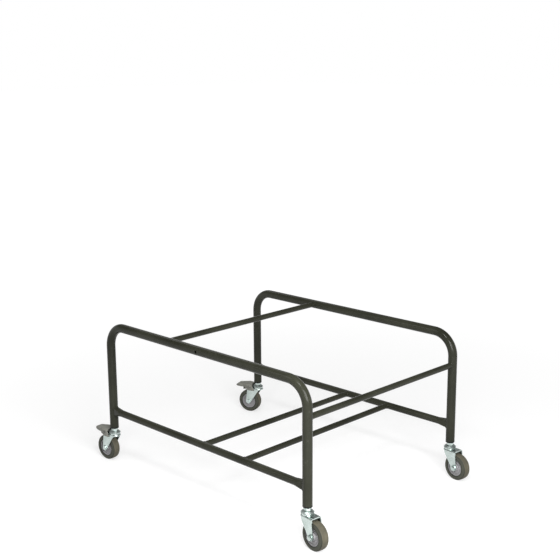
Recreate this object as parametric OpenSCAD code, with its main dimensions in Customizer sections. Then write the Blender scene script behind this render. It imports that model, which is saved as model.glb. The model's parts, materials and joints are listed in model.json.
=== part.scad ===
// Low stacking trolley: two bent tube hoops joined by welded bars and rails, standing on four
// swivel castors, of which the two on the left have a foot brake. Millimetres, +Z up. The origin
// lies on the floor midway between the four legs, with X along the hoops and Y from hoop to hoop.

/* [Hoops] */
// Distance between the two leg axes of a hoop
hoop_span = 784; // [600:1:1000]
// Distance from hoop to hoop, axis to axis
hoop_spacing = 592; // [400:1:800]
// Height of the top rail's axis above the floor
top_rail_height = 418; // [380:1:600]
// Outside diameter of the hoop tube
hoop_tube_d = 25.4; // [24:0.1:30]
// Wall of the hoop tube
hoop_wall = 1.5; // [1:0.1:2]
// Bend radius at the tube's axis
hoop_bend_r = 63; // [40:1:70]
// Diameter of the hole in the outer face of each top rail
link_hole_d = 8.5; // [5:0.1:12]

/* [Bars and rails] */
// Height of the lower bars' axes above the floor
lower_bar_height = 157; // [145:1:220]
// Outside diameter of the lower bars
bar_tube_d = 20; // [18:0.5:24]
// Wall of the lower bars
bar_wall = 1.5; // [1:0.1:2]
// Height of a lower bar's pressed end
pressed_end_h = 30; // [24:0.5:34]
// Width of a lower bar's pressed end
pressed_end_w = 15; // [12:0.5:18]
// Length over which a lower bar's end is pressed
pressed_end_len = 28; // [20:1:50]
// Outside diameter of the rails that run from hoop to hoop
rail_tube_d = 16; // [12:0.5:18]
// Wall of the rails
rail_wall = 1.2; // [0.8:0.1:2]
// Place along X of the rail near the middle of the lower bars
centre_rail_x = 7; // [-60:1:60]
// Place along X of the rail on the right part of the lower bars
inner_rail_x = 164; // [100:1:240]
// Place along X of the rail between the top rails
upper_rail_x = -133; // [-200:1:-60]
// How far the side rail's axis lies below the top rail's axis
side_rail_drop = 86; // [80:1:150]

/* [Wheels] */
// Diameter of the wheel
wheel_d = 75; // [68:1:90]
// Width of the tread
tread_w = 25; // [20:0.5:32]
// Radius of the crown across the tread
tread_crown_r = 60; // [40:1:120]
// Radius of the tyre's shoulders
shoulder_r = 6.5; // [4:0.5:8]
// Diameter of the hub's rim, inside the tyre
hub_d = 48; // [44:0.5:52]
// Thickness of the hub's rim
hub_rim_t = 3; // [2:0.1:4]
// How far the rim's edge lies in from the side of the tread
rim_inset = 1.5; // [1:0.1:3]
// How far the hub's web lies in from the side of the tread
web_inset = 5; // [3:0.1:7]
// Height of the ring that stands out of the web
web_ring_h = 1.6; // [0.5:0.1:2]
// Diameter of that ring, at its middle
web_ring_d = 32; // [28:0.5:34]
// Width of that ring
web_ring_w = 3; // [2:0.1:5]
// Diameter of the hub's boss
boss_d = 20; // [18:0.5:24]
// How far the boss stands out past the tread on each side
boss_proud = 1; // [0.5:0.1:3]
// Width of the key that holds the tyre on the rim
key_w = 8; // [4:0.5:12]
// Height of that key
key_h = 2.5; // [1:0.1:4]
// Wall of the bush that the hub turns on
bush_wall = 1.9; // [1:0.1:2.5]
// Diameter of the axle bolt
axle_d = 8; // [6:0.5:9]
// Width of the axle's nut and bolt head across flats
axle_flats = 13; // [12:0.5:15]
// Height of the bolt head
axle_head_h = 2.4; // [2:0.1:4]
// Height of the nut
axle_nut_h = 4.2; // [4:0.1:7]
// Height of the nut's round locking collar
nut_collar_h = 1; // [0.5:0.1:3]
// Diameter of the nut's washer
axle_washer_d = 17; // [15:0.5:20]
// Thickness of the nut's washer
axle_washer_t = 1.2; // [1:0.1:2.5]
// How far the bolt stands out past the nut
axle_past_nut = 0.6; // [0.5:0.1:4]

/* [Castor forks] */
// Distance from the swivel axis to the axle
trail = 29; // [26:0.5:34]
// Thickness of the pressed plate
fork_plate = 2.5; // [2:0.1:3]
// Outer radius of the bend between the crown and the arms
fork_bend_r = 4; // [3.5:0.1:5]
// Gap between the wheel and the crown above it
crown_gap = 7.5; // [7:0.5:10]
// How far the middle of the crown's round front lies in front of the swivel axis
crown_front = 1.5; // [0:0.5:4]
// How far the crown reaches behind the swivel axis
crown_back = 31.5; // [29:0.5:36]
// Depth of the crown's lip at the front
lip_h = 5; // [4.5:0.1:9]
// From the swivel axis forward to where the arm's front edge leaves the lip
arm_front = 9; // [7:0.5:14]
// Radius of the arm's end round the axle
arm_end_r = 8.5; // [8:0.1:11]

/* [Swivel heads] */
// Height of the dome above the crown
dome_h = 3.5; // [3:0.1:6]
// Diameter of the dome at its foot
dome_foot_d = 30; // [29.5:0.1:30.5]
// Diameter of the dome at its top
dome_top_d = 29; // [28.5:0.1:30]
// Diameter of the kingpin
kingpin_d = 12; // [10:0.5:13]
// Diameter of the bearing balls
ball_d = 5; // [4:0.1:5.5]
// Diameter of the circle that the balls run on
ball_circle_d = 21; // [20:0.1:22]
// Number of balls
ball_count = 12; // [8:1:12]
// Depth of the ball race in the dome
race_depth = 1.2; // [0.8:0.1:1.6]
// Diameter of the cap over the balls
cap_d = 34; // [33.5:0.1:36]
// Diameter of the cap's flat top
cap_top_d = 26.5; // [24:0.1:29]
// Height of the cap's straight rim
cap_rim_h = 1.8; // [1:0.1:2.5]
// Wall of the cap
cap_wall = 1.4; // [1:0.1:2]
// Diameter of the washer that holds the fork up
washer_d = 22; // [19:0.5:23]
// Thickness of that washer
washer_t = 2.4; // [1.5:0.1:2.6]
// Diameter of the kingpin's riveted end
rivet_d = 17; // [15:0.5:18]
// Height of the riveted end
rivet_h = 2.2; // [1.5:0.1:2.5]
// Height of the stem's hexagon collar
collar_h = 8.5; // [6:0.5:12]
// Width of the collar across flats
collar_flats = 17; // [15:0.5:19]
// Diameter of the stem's thread
stem_d = 10; // [8:0.5:11]
// Length of the thread above the collar
stem_len = 40; // [30:1:41]
// Height of the leg insert's flange
insert_flange_h = 5; // [4:0.5:8]
// Radius of the flange's lower edge
insert_edge_r = 2.5; // [1:0.1:3.5]
// Length of the insert inside the leg
insert_len = 38; // [37:1:45]
// Number of grooves round the insert
insert_grooves = 4; // [1:1:5]
// Width and depth of those grooves
insert_groove = 1.2; // [0.5:0.1:1.5]

/* [Brakes] */
// Distance of the pedal pin from the rear edge of the crown
pin_setback = 7.5; // [7:0.1:9]
// Height of the pedal pin above the crown
pin_rise = 5; // [5:0.1:6]
// Diameter of the pedal pin
pin_d = 5; // [4:0.1:6]
// Diameter of the pin's heads
pin_head_d = 9; // [8:0.1:10]
// Thickness of the pin's heads
pin_head_t = 1.6; // [1:0.1:2.5]
// Radius of the fork's ears round the pin
ear_r = 4.2; // [4:0.1:4.3]
// Wall of the pedal
pedal_wall = 2; // [1.5:0.1:2.5]
// Distance from the pin to the tip of the pedal
pedal_reach = 55; // [53:0.5:60]
// Height of the pedal's front edge above the pin
pedal_front_rise = 7; // [7:0.1:8]
// How far that edge lies in front of the pin
pedal_front = 6; // [5:0.1:8]
// Height of the pedal's crest above the pin
crest_rise = 9; // [8.5:0.1:10.5]
// How far the crest lies behind the pin
crest_back = 12; // [10:0.5:14]
// Height of the pedal's shoulder above the pin
slope_rise = 6.2; // [5:0.1:7]
// How far that shoulder lies behind the pin
slope_back = 43; // [38:0.5:45]
// Width of the pedal at that shoulder
slope_w = 26; // [22:0.5:30]
// Radius of the pedal's upper edges
pedal_edge_r = 4.5; // [4:0.1:4.8]
// How far the middle of the nose lies below the pin
nose_drop = 3.3; // [2.5:0.1:5]
// Width of the nose
nose_w = 14; // [12:0.5:20]
// Radius of the nose's edge
nose_r = 3.5; // [3:0.1:4.5]
// How far the cheeks reach below the pin
cheek_drop = 13; // [12.5:0.1:14.5]
// How far the cheeks reach in front of the pin
cheek_forward = 17; // [14:0.5:22]
// How far the cheeks' lower edges reach behind the pin
cheek_back = 4; // [3:0.1:6]
// How far the top of the cheeks' arch lies behind the pin
arch_back = 21; // [19:0.5:22]
// How far the top of that arch lies below the pin
arch_drop = 3; // [2.5:0.1:4.5]
// Angle through which the pedal is pressed
press_angle = 12; // [10:0.5:14]
// Length of the brake shoe
shoe_len = 16; // [12:0.5:18]
// Width of the brake shoe
shoe_w = 18; // [14:0.5:22]
// How far the shoe's seat lies below the pin
shoe_seat_drop = 9; // [8.5:0.1:10]

/* [Resting turn of each castor] */
// Direction in which the front left castor trails
front_left_turn = 185; // [0:1:359]
// Direction in which the front right castor trails
front_right_turn = -5; // [-180:1:180]
// Direction in which the rear left castor trails
rear_left_turn = 200; // [0:1:359]
// Direction in which the rear right castor trails
rear_right_turn = -5; // [-180:1:180]

/* [Clearances] */
// Gap at a welded joint
weld_gap = 0.05; // [0:0.01:0.1]
// Radial gap between pieces that are pushed together
push_gap = 0.05; // [0.02:0.01:0.1]
// Radial gap between a pin and the piece that turns on it
running_gap = 0.08; // [0.02:0.01:0.1]
// Gap between flat faces that slide past each other
face_gap = 0.25; // [0.2:0.05:0.5]
// Gap between the hub's boss and the fork's arms
side_gap = 0.5; // [0.3:0.1:1]
// Gap between the balls and the cap
ball_gap = 0.3; // [0.25:0.05:0.5]
// Gap between the dome and the cap's rim
cap_lift = 0.6; // [0.4:0.1:1]
// Gap between the pedal's cheeks and the fork
cheek_gap = 1.1; // [1:0.1:1.5]
// Gap between the cap and the pedal's round cut-out
pedal_cut_gap = 2.5; // [1.5:0.1:3]
// Gap between the crown's rear edge and the brake shoe
shoe_front_gap = 3; // [2.5:0.1:4]
// Gap between the shoe and the tyre with the pedal pressed
shoe_gap = 0.3; // [0.3:0.1:1]

/* [Hidden] */
$fn = 64;
// Facets round the pedal's rounded edges
pedal_fn = 28;
// How far a cutting solid runs past the face that it cuts
over = 1;
// How far inside a round end the straight edges that run into it are aimed
edge_aim = 0.05;

steel_black = "#33342f";
zinc = "#c4cbcf";
hub_grey = "#a19ea2";
tyre_grey = "#6f6a5c";
pedal_grey = "#86837b";
insert_black = "#26292a";
ball_steel = "#9a9ea2";
shoe_black = "#3a3936";

hoop_r = hoop_tube_d / 2;
side_rail_height = top_rail_height - side_rail_drop;

axle_z = wheel_d / 2;
crown_under = wheel_d + crown_gap;
crown_top = crown_under + fork_plate;
dome_top = crown_top + dome_h;
dome_under = dome_top - fork_plate;
ball_z = dome_top - race_depth + ball_d / 2;
cap_foot = dome_top + cap_lift;
cap_top = ball_z + ball_d / 2 + ball_gap + cap_wall;
cap_ceiling = cap_top - ball_d / 2;
foot_z = cap_top + collar_h;
leg_foot = foot_z + insert_flange_h;
washer_top = dome_under - face_gap;
washer_foot = washer_top - washer_t;

boss_w = tread_w + 2 * boss_proud;
bush_len = boss_w + 2 * side_gap;
bush_bore_d = axle_d + 2 * push_gap;
bush_d = bush_bore_d + 2 * bush_wall;
fork_in = bush_len / 2;
fork_out = fork_in + fork_plate;

pin_x = crown_back - pin_setback;
pin_z = crown_top + pin_rise;
cheek_in = fork_out + cheek_gap;
cheek_out = cheek_in + pedal_wall;
shoe_front = pin_setback + shoe_front_gap;
shoe_rear = shoe_front + shoe_len;
// Centre of the wheel beside the pin, turned back from the pressed pose
pressed_axle = [
    (trail - pin_x) * cos(press_angle) - (axle_z - pin_z) * sin(press_angle),
    (trail - pin_x) * sin(press_angle) + (axle_z - pin_z) * cos(press_angle)
];

// Each corner: its name, its side along X and Y, its resting turn, and whether it has a brake
CORNERS = [
    ["front_left", -1, -1, front_left_turn, true],
    ["front_right", 1, -1, front_right_turn, false],
    ["rear_left", -1, 1, rear_left_turn, true],
    ["rear_right", 1, 1, rear_right_turn, false]
];
FRAME_PIECES = [
    "hoop_front", "hoop_rear", "lower_bar_front", "lower_bar_rear",
    "centre_rail", "inner_rail", "upper_rail", "side_rail"
];
CASTOR_PIECES = [
    "leg_insert", "stem", "race_cap", "balls", "retaining_washer", "fork",
    "axle_bolt", "axle_nut", "bush", "hub", "tyre"
];
BRAKE_PIECES = ["brake_pedal", "pedal_pin", "brake_shoe"];

// Point where the line from a point touches a circle, on the side that turn, 1 or -1, picks
function touch_point(from, centre, r, turn) =
    let (away = from - centre, lean = atan2(away[1], away[0]) + turn * acos(r / norm(away)))
    centre + r * [cos(lean), sin(lean)];

// Height of the middle of the pedal's skin, between its crest and its shoulder
function skin_z(x) =
    let (slope = (slope_rise - crest_rise) / (slope_back - crest_back))
    crest_rise - pedal_wall / 2 + slope * (x - crest_back);

// A child at one corner's swivel axis, turned the way that its castor trails
module at_corner(corner) {
    translate([corner[1] * hoop_span / 2, corner[2] * hoop_spacing / 2, 0])
        rotate(corner[3])
            children();
}

// A child with its Z axis laid along the axle
module on_axle() {
    translate([trail, 0, axle_z])
        rotate([90, 0, 0])
            children();
}

// A child with its Z axis laid along the pedal pin
module on_pin() {
    translate([pin_x, 0, pin_z])
        rotate([90, 0, 0])
            children();
}

// Bar of one radius along the whole hoop, with its legs cut off at a height
module hoop_bar(r, foot) {
    straight = hoop_span / 2 - hoop_bend_r;
    shoulder = top_rail_height - hoop_bend_r;
    translate([-straight, 0, top_rail_height])
        rotate([0, 90, 0])
            cylinder(r = r, h = 2 * straight);
    for (side = [-1, 1]) {
        translate([side * hoop_span / 2, 0, foot])
            cylinder(r = r, h = shoulder - foot);
        translate([side * straight, 0, shoulder])
            rotate([90, 0, 0])
                rotate(side > 0 ? 0 : 90)
                    rotate_extrude(angle = 90)
                        translate([hoop_bend_r, 0])
                            circle(r = r);
    }
}

// Bent tube hoop, on the side of the trolley that side, 1 or -1, gives
module hoop(side) {
    color(steel_black)
        translate([0, side * hoop_spacing / 2, 0])
            difference() {
                hoop_bar(hoop_r, leg_foot);
                hoop_bar(hoop_r - hoop_wall, leg_foot - over);
                translate([0, 0, top_rail_height])
                    rotate([side * -90, 0, 0])
                        cylinder(d = link_hole_d, h = hoop_tube_d);
            }
}

// Lower bar's core, a round bar whose ends grow taller and flatter, with a wall taken off
module bar_core(wall) {
    plain = hoop_span / 2 - hoop_r - pressed_end_len;
    end_len = pressed_end_len + hoop_r;
    lead_w = bar_tube_d + bar_wall;
    rotate([0, 90, 0])
        cylinder(d = bar_tube_d - 2 * wall, h = 2 * plain, center = true);
    for (side = [0, 180])
        rotate(side)
            translate([plain, 0, 0])
                intersection() {
                    rotate([0, 90, 0])
                        cylinder(d1 = bar_tube_d - 2 * wall, d2 = pressed_end_h - 2 * wall, h = end_len);
                    linear_extrude(pressed_end_h, center = true)
                        polygon([
                            [0, wall - lead_w / 2],
                            [end_len, wall - pressed_end_w / 2],
                            [end_len, pressed_end_w / 2 - wall],
                            [0, lead_w / 2 - wall]
                        ]);
                }
}

// Lower bar between the two legs of a hoop
module lower_bar(side) {
    color(steel_black)
        translate([0, side * hoop_spacing / 2, lower_bar_height])
            difference() {
                bar_core(0);
                bar_core(bar_wall);
                for (leg = [-1, 1])
                    translate([leg * hoop_span / 2, 0, 0])
                        cylinder(r = hoop_r + weld_gap, h = 2 * pressed_end_h, center = true);
            }
}

// Rail from hoop to hoop, cut at both ends to the children, which lie along the rail's end
module rail(x, z) {
    color(steel_black)
        translate([x, 0, z])
            difference() {
                rotate([90, 0, 0])
                    cylinder(d = rail_tube_d, h = hoop_spacing, center = true);
                rotate([90, 0, 0])
                    cylinder(d = rail_tube_d - 2 * rail_wall, h = hoop_spacing + over, center = true);
                for (side = [-1, 1])
                    translate([0, side * hoop_spacing / 2, 0])
                        children();
            }
}

// Space of a bar that runs along X past a rail's end
module cross_bar(d) {
    rotate([0, 90, 0])
        cylinder(d = d + 2 * weld_gap, h = 2 * d, center = true);
}

module centre_rail() {
    rail(centre_rail_x, lower_bar_height)
        cross_bar(bar_tube_d);
}

module inner_rail() {
    rail(inner_rail_x, lower_bar_height)
        cross_bar(bar_tube_d);
}

module upper_rail() {
    rail(upper_rail_x, top_rail_height)
        cross_bar(hoop_tube_d);
}

module side_rail() {
    rail(hoop_span / 2, side_rail_height)
        cylinder(r = hoop_r + weld_gap, h = 2 * rail_tube_d, center = true);
}

// Plug in the foot of a leg that takes the castor's stem
module leg_insert() {
    plug_r = hoop_r - hoop_wall - push_gap;
    groove_step = insert_len / (insert_grooves + 1);
    color(insert_black)
        rotate_extrude()
            difference() {
                union() {
                    translate([0, foot_z])
                        square([hoop_r - insert_edge_r, insert_flange_h]);
                    translate([0, foot_z + insert_edge_r])
                        square([hoop_r, insert_flange_h - insert_edge_r]);
                    translate([hoop_r - insert_edge_r, foot_z + insert_edge_r])
                        circle(insert_edge_r);
                    translate([0, leg_foot])
                        square([plug_r, insert_len]);
                }
                translate([-hoop_tube_d, foot_z - over])
                    square([hoop_tube_d + stem_d / 2 + push_gap, insert_flange_h + insert_len + 2 * over]);
                for (i = [1:insert_grooves])
                    translate([plug_r - insert_groove, leg_foot + i * groove_step])
                        square(insert_groove);
            }
}

// Hexagon with its corners turned off at both ends
module turned_hexagon(flats, height) {
    corner_r = flats / sqrt(3);
    turned = corner_r - flats / 2;
    intersection() {
        cylinder(r = corner_r, h = height, $fn = 6);
        rotate_extrude()
            polygon([
                [0, 0],
                [flats / 2, 0],
                [corner_r, turned / 2],
                [corner_r, height - turned / 2],
                [flats / 2, height],
                [0, height]
            ]);
    }
}

// Kingpin with its riveted end, hexagon collar and threaded stem
module stem() {
    thread_lead = stem_d / 8;
    color(zinc) {
        rotate_extrude()
            polygon([
                [0, washer_foot - rivet_h],
                [kingpin_d / 2, washer_foot - rivet_h],
                [rivet_d / 2, washer_foot - rivet_h / 2],
                [rivet_d / 2, washer_foot],
                [kingpin_d / 2, washer_foot],
                [kingpin_d / 2, cap_top],
                [0, cap_top]
            ]);
        translate([0, 0, cap_top])
            turned_hexagon(collar_flats, collar_h);
        rotate_extrude()
            polygon([
                [0, foot_z],
                [stem_d / 2, foot_z],
                [stem_d / 2, foot_z + stem_len - thread_lead],
                [stem_d / 2 - thread_lead, foot_z + stem_len],
                [0, foot_z + stem_len]
            ]);
    }
}

// Section of the ball race, wider than the balls by a gap all round
module race_section(gap) {
    translate([ball_circle_d / 2, ball_z])
        circle(d = ball_d + 2 * gap);
}

// Pressed cap over the balls, held under the stem's collar
module race_cap() {
    ceiling_r = (ball_circle_d + ball_d) / 2 + ball_gap;
    color(zinc)
        rotate_extrude()
            difference() {
                polygon([
                    [kingpin_d / 2 + push_gap, cap_ceiling],
                    [ceiling_r, cap_ceiling],
                    [cap_d / 2 - cap_wall, cap_foot],
                    [cap_d / 2, cap_foot],
                    [cap_d / 2, cap_foot + cap_rim_h],
                    [cap_top_d / 2, cap_top],
                    [kingpin_d / 2 + push_gap, cap_top]
                ]);
                race_section(ball_gap);
            }
}

// Ring of bearing balls between the fork's dome and the cap
module balls() {
    color(ball_steel)
        for (i = [0:ball_count - 1])
            rotate(i * 360 / ball_count)
                translate([ball_circle_d / 2, 0, ball_z])
                    sphere(d = ball_d);
}

// Washer riveted on the kingpin, which carries the fork when the trolley is lifted
module retaining_washer() {
    color(zinc)
        translate([0, 0, washer_foot])
            difference() {
                cylinder(d = washer_d, h = washer_t);
                translate([0, 0, -over])
                    cylinder(d = kingpin_d + 2 * push_gap, h = washer_t + 2 * over);
            }
}

// Half of the fork's section, with its upper corner rounded
module bell_section(half_w, top, r) {
    square([half_w, top - r]);
    square([half_w - r, top]);
    translate([half_w - r, top - r])
        circle(r);
}

// Solid that the fork's plate is pressed round: round in front and open-ended behind
module bell(half_w, top, r) {
    translate([-crown_front, 0, 0]) {
        rotate_extrude()
            intersection() {
                bell_section(half_w, top, r);
                square([half_w, top]);
            }
        rotate([90, 0, 90])
            linear_extrude(crown_front + crown_back + trail) {
                bell_section(half_w, top, r);
                mirror([1, 0])
                    bell_section(half_w, top, r);
            }
    }
}

// Fork's outline seen from the side
module arm_outline() {
    axle = [trail, axle_z];
    lip = [-crown_front - fork_out - over, crown_top - lip_h];
    shoulder = [-arm_front, crown_top - lip_h];
    rear = [crown_back, crown_top];
    polygon([
        [lip[0], crown_top + over],
        lip,
        shoulder,
        touch_point(shoulder, axle, arm_end_r - edge_aim, 1),
        axle,
        touch_point(rear, axle, arm_end_r - edge_aim, -1),
        rear,
        [crown_back, crown_top + over]
    ]);
    translate(axle)
        circle(arm_end_r);
}

// Ears that stand up from the fork's arms to hold the pedal pin
module fork_ears() {
    for (side = [fork_in, -fork_out])
        translate([pin_x, side + fork_plate, 0])
            rotate([90, 0, 0])
                linear_extrude(fork_plate) {
                    translate([0, pin_z])
                        circle(ear_r);
                    translate([-ear_r, crown_top - fork_bend_r])
                        square([2 * ear_r, pin_rise + fork_bend_r]);
                }
}

// Pressed swivel fork with its domed crown, and with ears where it carries a brake
module fork(braked) {
    hollow_r = dome_top_d / 2 - fork_plate;
    color(zinc)
        difference() {
            union() {
                intersection() {
                    difference() {
                        bell(fork_out, crown_top, fork_bend_r);
                        bell(fork_in, crown_under, fork_bend_r - fork_plate);
                    }
                    rotate([90, 0, 0])
                        linear_extrude(4 * fork_out, center = true)
                            arm_outline();
                }
                translate([0, 0, crown_top - fork_plate / 2])
                    cylinder(d1 = dome_foot_d, d2 = dome_top_d, h = dome_h + fork_plate / 2);
                if (braked)
                    fork_ears();
            }
            translate([0, 0, crown_under - over])
                cylinder(r = hollow_r, h = dome_under - crown_under + over);
            translate([0, 0, crown_under])
                cylinder(d = kingpin_d + 2 * running_gap, h = dome_top);
            rotate_extrude()
                race_section(push_gap);
            on_axle()
                cylinder(d = axle_d + 2 * push_gap, h = 4 * fork_out, center = true);
            if (braked)
                on_pin()
                    cylinder(d = pin_d + 2 * push_gap, h = 4 * fork_out, center = true);
        }
}

// Axle bolt, with its head on one arm and its end past the nut on the other
module axle_bolt() {
    reach = fork_out + axle_washer_t + axle_nut_h + nut_collar_h + axle_past_nut;
    color(zinc)
        on_axle() {
            translate([0, 0, -fork_out - axle_head_h])
                turned_hexagon(axle_flats, axle_head_h);
            translate([0, 0, -fork_out])
                cylinder(d = axle_d, h = fork_out + reach);
        }
}

// Locking nut of the axle, with its washer
module axle_nut() {
    color(zinc)
        on_axle()
            translate([0, 0, fork_out])
                difference() {
                    union() {
                        cylinder(d = axle_washer_d, h = axle_washer_t);
                        translate([0, 0, axle_washer_t])
                            turned_hexagon(axle_flats, axle_nut_h);
                        translate([0, 0, axle_washer_t + axle_nut_h])
                            cylinder(d1 = axle_flats, d2 = axle_d + nut_collar_h, h = nut_collar_h);
                    }
                    translate([0, 0, -over])
                        cylinder(
                            d = axle_d + 2 * push_gap,
                            h = axle_washer_t + axle_nut_h + nut_collar_h + 2 * over
                        );
                }
}

// Bush clamped between the fork's arms, on which the hub turns
module bush() {
    color(ball_steel)
        on_axle()
            difference() {
                cylinder(d = bush_d, h = bush_len, center = true);
                cylinder(d = bush_bore_d, h = bush_len + 2 * over, center = true);
            }
}

// Rectangle from one radius to another, centred on the wheel's middle plane
module ring_section(inner_r, outer_r, width) {
    translate([inner_r, -width / 2])
        square([outer_r - inner_r, width]);
}

// Wheel hub: boss, web with a raised ring, rim and the key that holds the tyre
module hub() {
    bore_r = bush_d / 2 + running_gap;
    web_w = tread_w - 2 * web_inset;
    color(hub_grey)
        on_axle()
            rotate_extrude() {
                ring_section(bore_r, boss_d / 2, boss_w);
                ring_section(bore_r, hub_d / 2, web_w);
                ring_section(
                    (web_ring_d - web_ring_w) / 2,
                    (web_ring_d + web_ring_w) / 2,
                    web_w + 2 * web_ring_h
                );
                ring_section(hub_d / 2 - hub_rim_t, hub_d / 2, tread_w - 2 * rim_inset);
                ring_section(hub_d / 2 - hub_rim_t, hub_d / 2 + key_h, key_w);
            }
}

// Tyre with a crowned tread and round shoulders, moulded on the hub's rim
module tyre() {
    edge_r = wheel_d / 2 - shoulder_r;
    inner_r = hub_d / 2 + push_gap;
    color(tyre_grey)
        on_axle()
            rotate_extrude()
                difference() {
                    intersection() {
                        translate([wheel_d / 2 - tread_crown_r, 0])
                            circle(tread_crown_r, $fn = 4 * $fn);
                        ring_section(inner_r, wheel_d / 2, tread_w);
                        union() {
                            ring_section(inner_r, edge_r, tread_w);
                            ring_section(inner_r, wheel_d / 2, tread_w - 2 * shoulder_r);
                            for (side = [-1, 1])
                                translate([edge_r, side * (tread_w / 2 - shoulder_r)])
                                    circle(shoulder_r);
                        }
                    }
                    ring_section(0, hub_d / 2 + key_h + push_gap, key_w + 2 * push_gap);
                }
}

// Rounded solid that the pedal is pressed round, with a margin taken off all over
module pedal_form(margin) {
    opening = margin > 0 ? pedal_edge_r : 0;
    // Rounded corners: place behind and above the pin, half width, and radius
    corners = [
        [-pedal_front - opening, pedal_front_rise - pedal_edge_r, cheek_out, pedal_edge_r],
        [crest_back, crest_rise - pedal_edge_r, cheek_out, pedal_edge_r],
        [slope_back, slope_rise - pedal_edge_r, slope_w / 2, pedal_edge_r],
        [pedal_reach - nose_r, -nose_drop, nose_w / 2, nose_r]
    ];
    hull() {
        for (c = corners, side = [-1, 1])
            translate([c[0], side * (c[2] - c[3]), c[1]])
                sphere(r = c[3] - margin, $fn = pedal_fn);
        translate([-cheek_forward - opening, margin - cheek_out, -cheek_drop - margin])
            cube([cheek_forward + opening + cheek_back, 2 * (cheek_out - margin), pedal_wall]);
    }
}

// Foot pedal: a pressed hood with two cheeks, a sloping nose and a seat for the shoe
module brake_pedal() {
    color(pedal_grey)
        difference() {
            translate([pin_x, 0, pin_z]) {
                difference() {
                    pedal_form(0);
                    pedal_form(pedal_wall);
                    rotate([90, 0, 0])
                        linear_extrude(4 * cheek_out, center = true)
                            polygon([
                                [cheek_back, -cheek_drop],
                                [arch_back, -arch_drop],
                                [pedal_reach - nose_r, -nose_drop - nose_r],
                                [pedal_reach - nose_r, -2 * cheek_drop],
                                [cheek_back, -2 * cheek_drop]
                            ]);
                }
                rotate([90, 0, 0])
                    linear_extrude(shoe_w, center = true)
                        polygon([
                            [shoe_front, -shoe_seat_drop],
                            [shoe_rear, -shoe_seat_drop],
                            [shoe_rear, skin_z(shoe_rear)],
                            [shoe_front, skin_z(shoe_front)]
                        ]);
            }
            cylinder(d = cap_d + 2 * pedal_cut_gap, h = 2 * pin_z);
            on_pin()
                cylinder(d = pin_d + 2 * running_gap, h = 4 * cheek_out, center = true);
        }
}

// Riveted pin that the pedal turns on
module pedal_pin() {
    head_foot = cheek_out + face_gap;
    color(zinc)
        on_pin() {
            cylinder(d = pin_d, h = 2 * head_foot, center = true);
            for (side = [0, 180])
                rotate([side, 0, 0])
                    translate([0, 0, head_foot])
                        cylinder(d1 = pin_head_d, d2 = pin_d, h = pin_head_t);
        }
}

// Brake shoe under the pedal, hollowed to the tyre's curve in the pressed pose
module brake_shoe() {
    color(shoe_black)
        on_pin()
            linear_extrude(shoe_w, center = true)
                difference() {
                    polygon([
                        [shoe_front, -shoe_seat_drop],
                        [shoe_rear, -shoe_seat_drop],
                        [shoe_rear, pressed_axle[1]],
                        [shoe_front, pressed_axle[1]]
                    ]);
                    translate(pressed_axle)
                        circle(r = wheel_d / 2 + shoe_gap, $fn = 4 * $fn);
                }
}

hoop(-1);  // hoop_front
hoop(1);  // hoop_rear
lower_bar(-1);  // lower_bar_front
lower_bar(1);  // lower_bar_rear
centre_rail();
inner_rail();
upper_rail();
side_rail();
for (corner = CORNERS) {
    at_corner(corner) leg_insert();
    at_corner(corner) stem();
    at_corner(corner) race_cap();
    at_corner(corner) balls();
    at_corner(corner) retaining_washer();
    at_corner(corner) fork(corner[4]);
    at_corner(corner) axle_bolt();
    at_corner(corner) axle_nut();
    at_corner(corner) bush();
    at_corner(corner) hub();
    at_corner(corner) tyre();
    if (corner[4]) {
        at_corner(corner) brake_pedal();
        at_corner(corner) pedal_pin();
        at_corner(corner) brake_shoe();
    }
}
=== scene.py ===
# %% [markdown]
# # A low stacking trolley on four castors
#
# The frame of this object is already solid: two bent tube hoops, the bars and rails between them,
# and four castors, each with its fork, wheel, axle and bearing. This lesson loads that frame, sets
# the camera and the light, gives every surface a finish of its own, and adds what only a close
# look shows: weld beads, smooth moulded brake pedals, and the ribs that keep a foot from slipping.

# %% Load the frame
import json
import math

import bmesh
import bpy
from mathutils import Matrix, Vector


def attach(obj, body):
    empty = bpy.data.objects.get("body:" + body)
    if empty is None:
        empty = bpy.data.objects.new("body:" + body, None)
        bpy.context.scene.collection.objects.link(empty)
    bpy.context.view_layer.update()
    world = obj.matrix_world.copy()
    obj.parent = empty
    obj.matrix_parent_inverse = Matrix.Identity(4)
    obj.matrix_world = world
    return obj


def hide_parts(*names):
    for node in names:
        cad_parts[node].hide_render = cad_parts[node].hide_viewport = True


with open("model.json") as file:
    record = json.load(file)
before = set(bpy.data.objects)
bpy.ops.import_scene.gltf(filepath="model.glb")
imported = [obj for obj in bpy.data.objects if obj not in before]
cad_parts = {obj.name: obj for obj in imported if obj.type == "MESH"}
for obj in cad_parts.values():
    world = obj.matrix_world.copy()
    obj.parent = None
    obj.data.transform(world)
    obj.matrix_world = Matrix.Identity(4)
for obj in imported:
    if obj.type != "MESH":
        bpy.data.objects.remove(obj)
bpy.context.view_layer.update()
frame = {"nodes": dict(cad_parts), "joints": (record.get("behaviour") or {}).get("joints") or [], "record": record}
scene = bpy.context.scene

# %% [markdown]
# ## Camera
#
# The picture that the object is matched to was taken from the front right, a little above the top
# rail. A camera could be dragged into place by eye. Here its angles, its place and its focal
# length were solved from the straight tubes, so the lesson only writes them down.

# %% Camera
PICTURE_PX = 560
FOCAL_PX = 1021.07
SENSOR_MM = 36.0
AZIMUTH = math.radians(44.733)
ELEVATION = math.radians(12.435)
ROLL = math.radians(-0.358)
EYE = Vector((1.97474, -1.98395, 1.17978))


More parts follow.
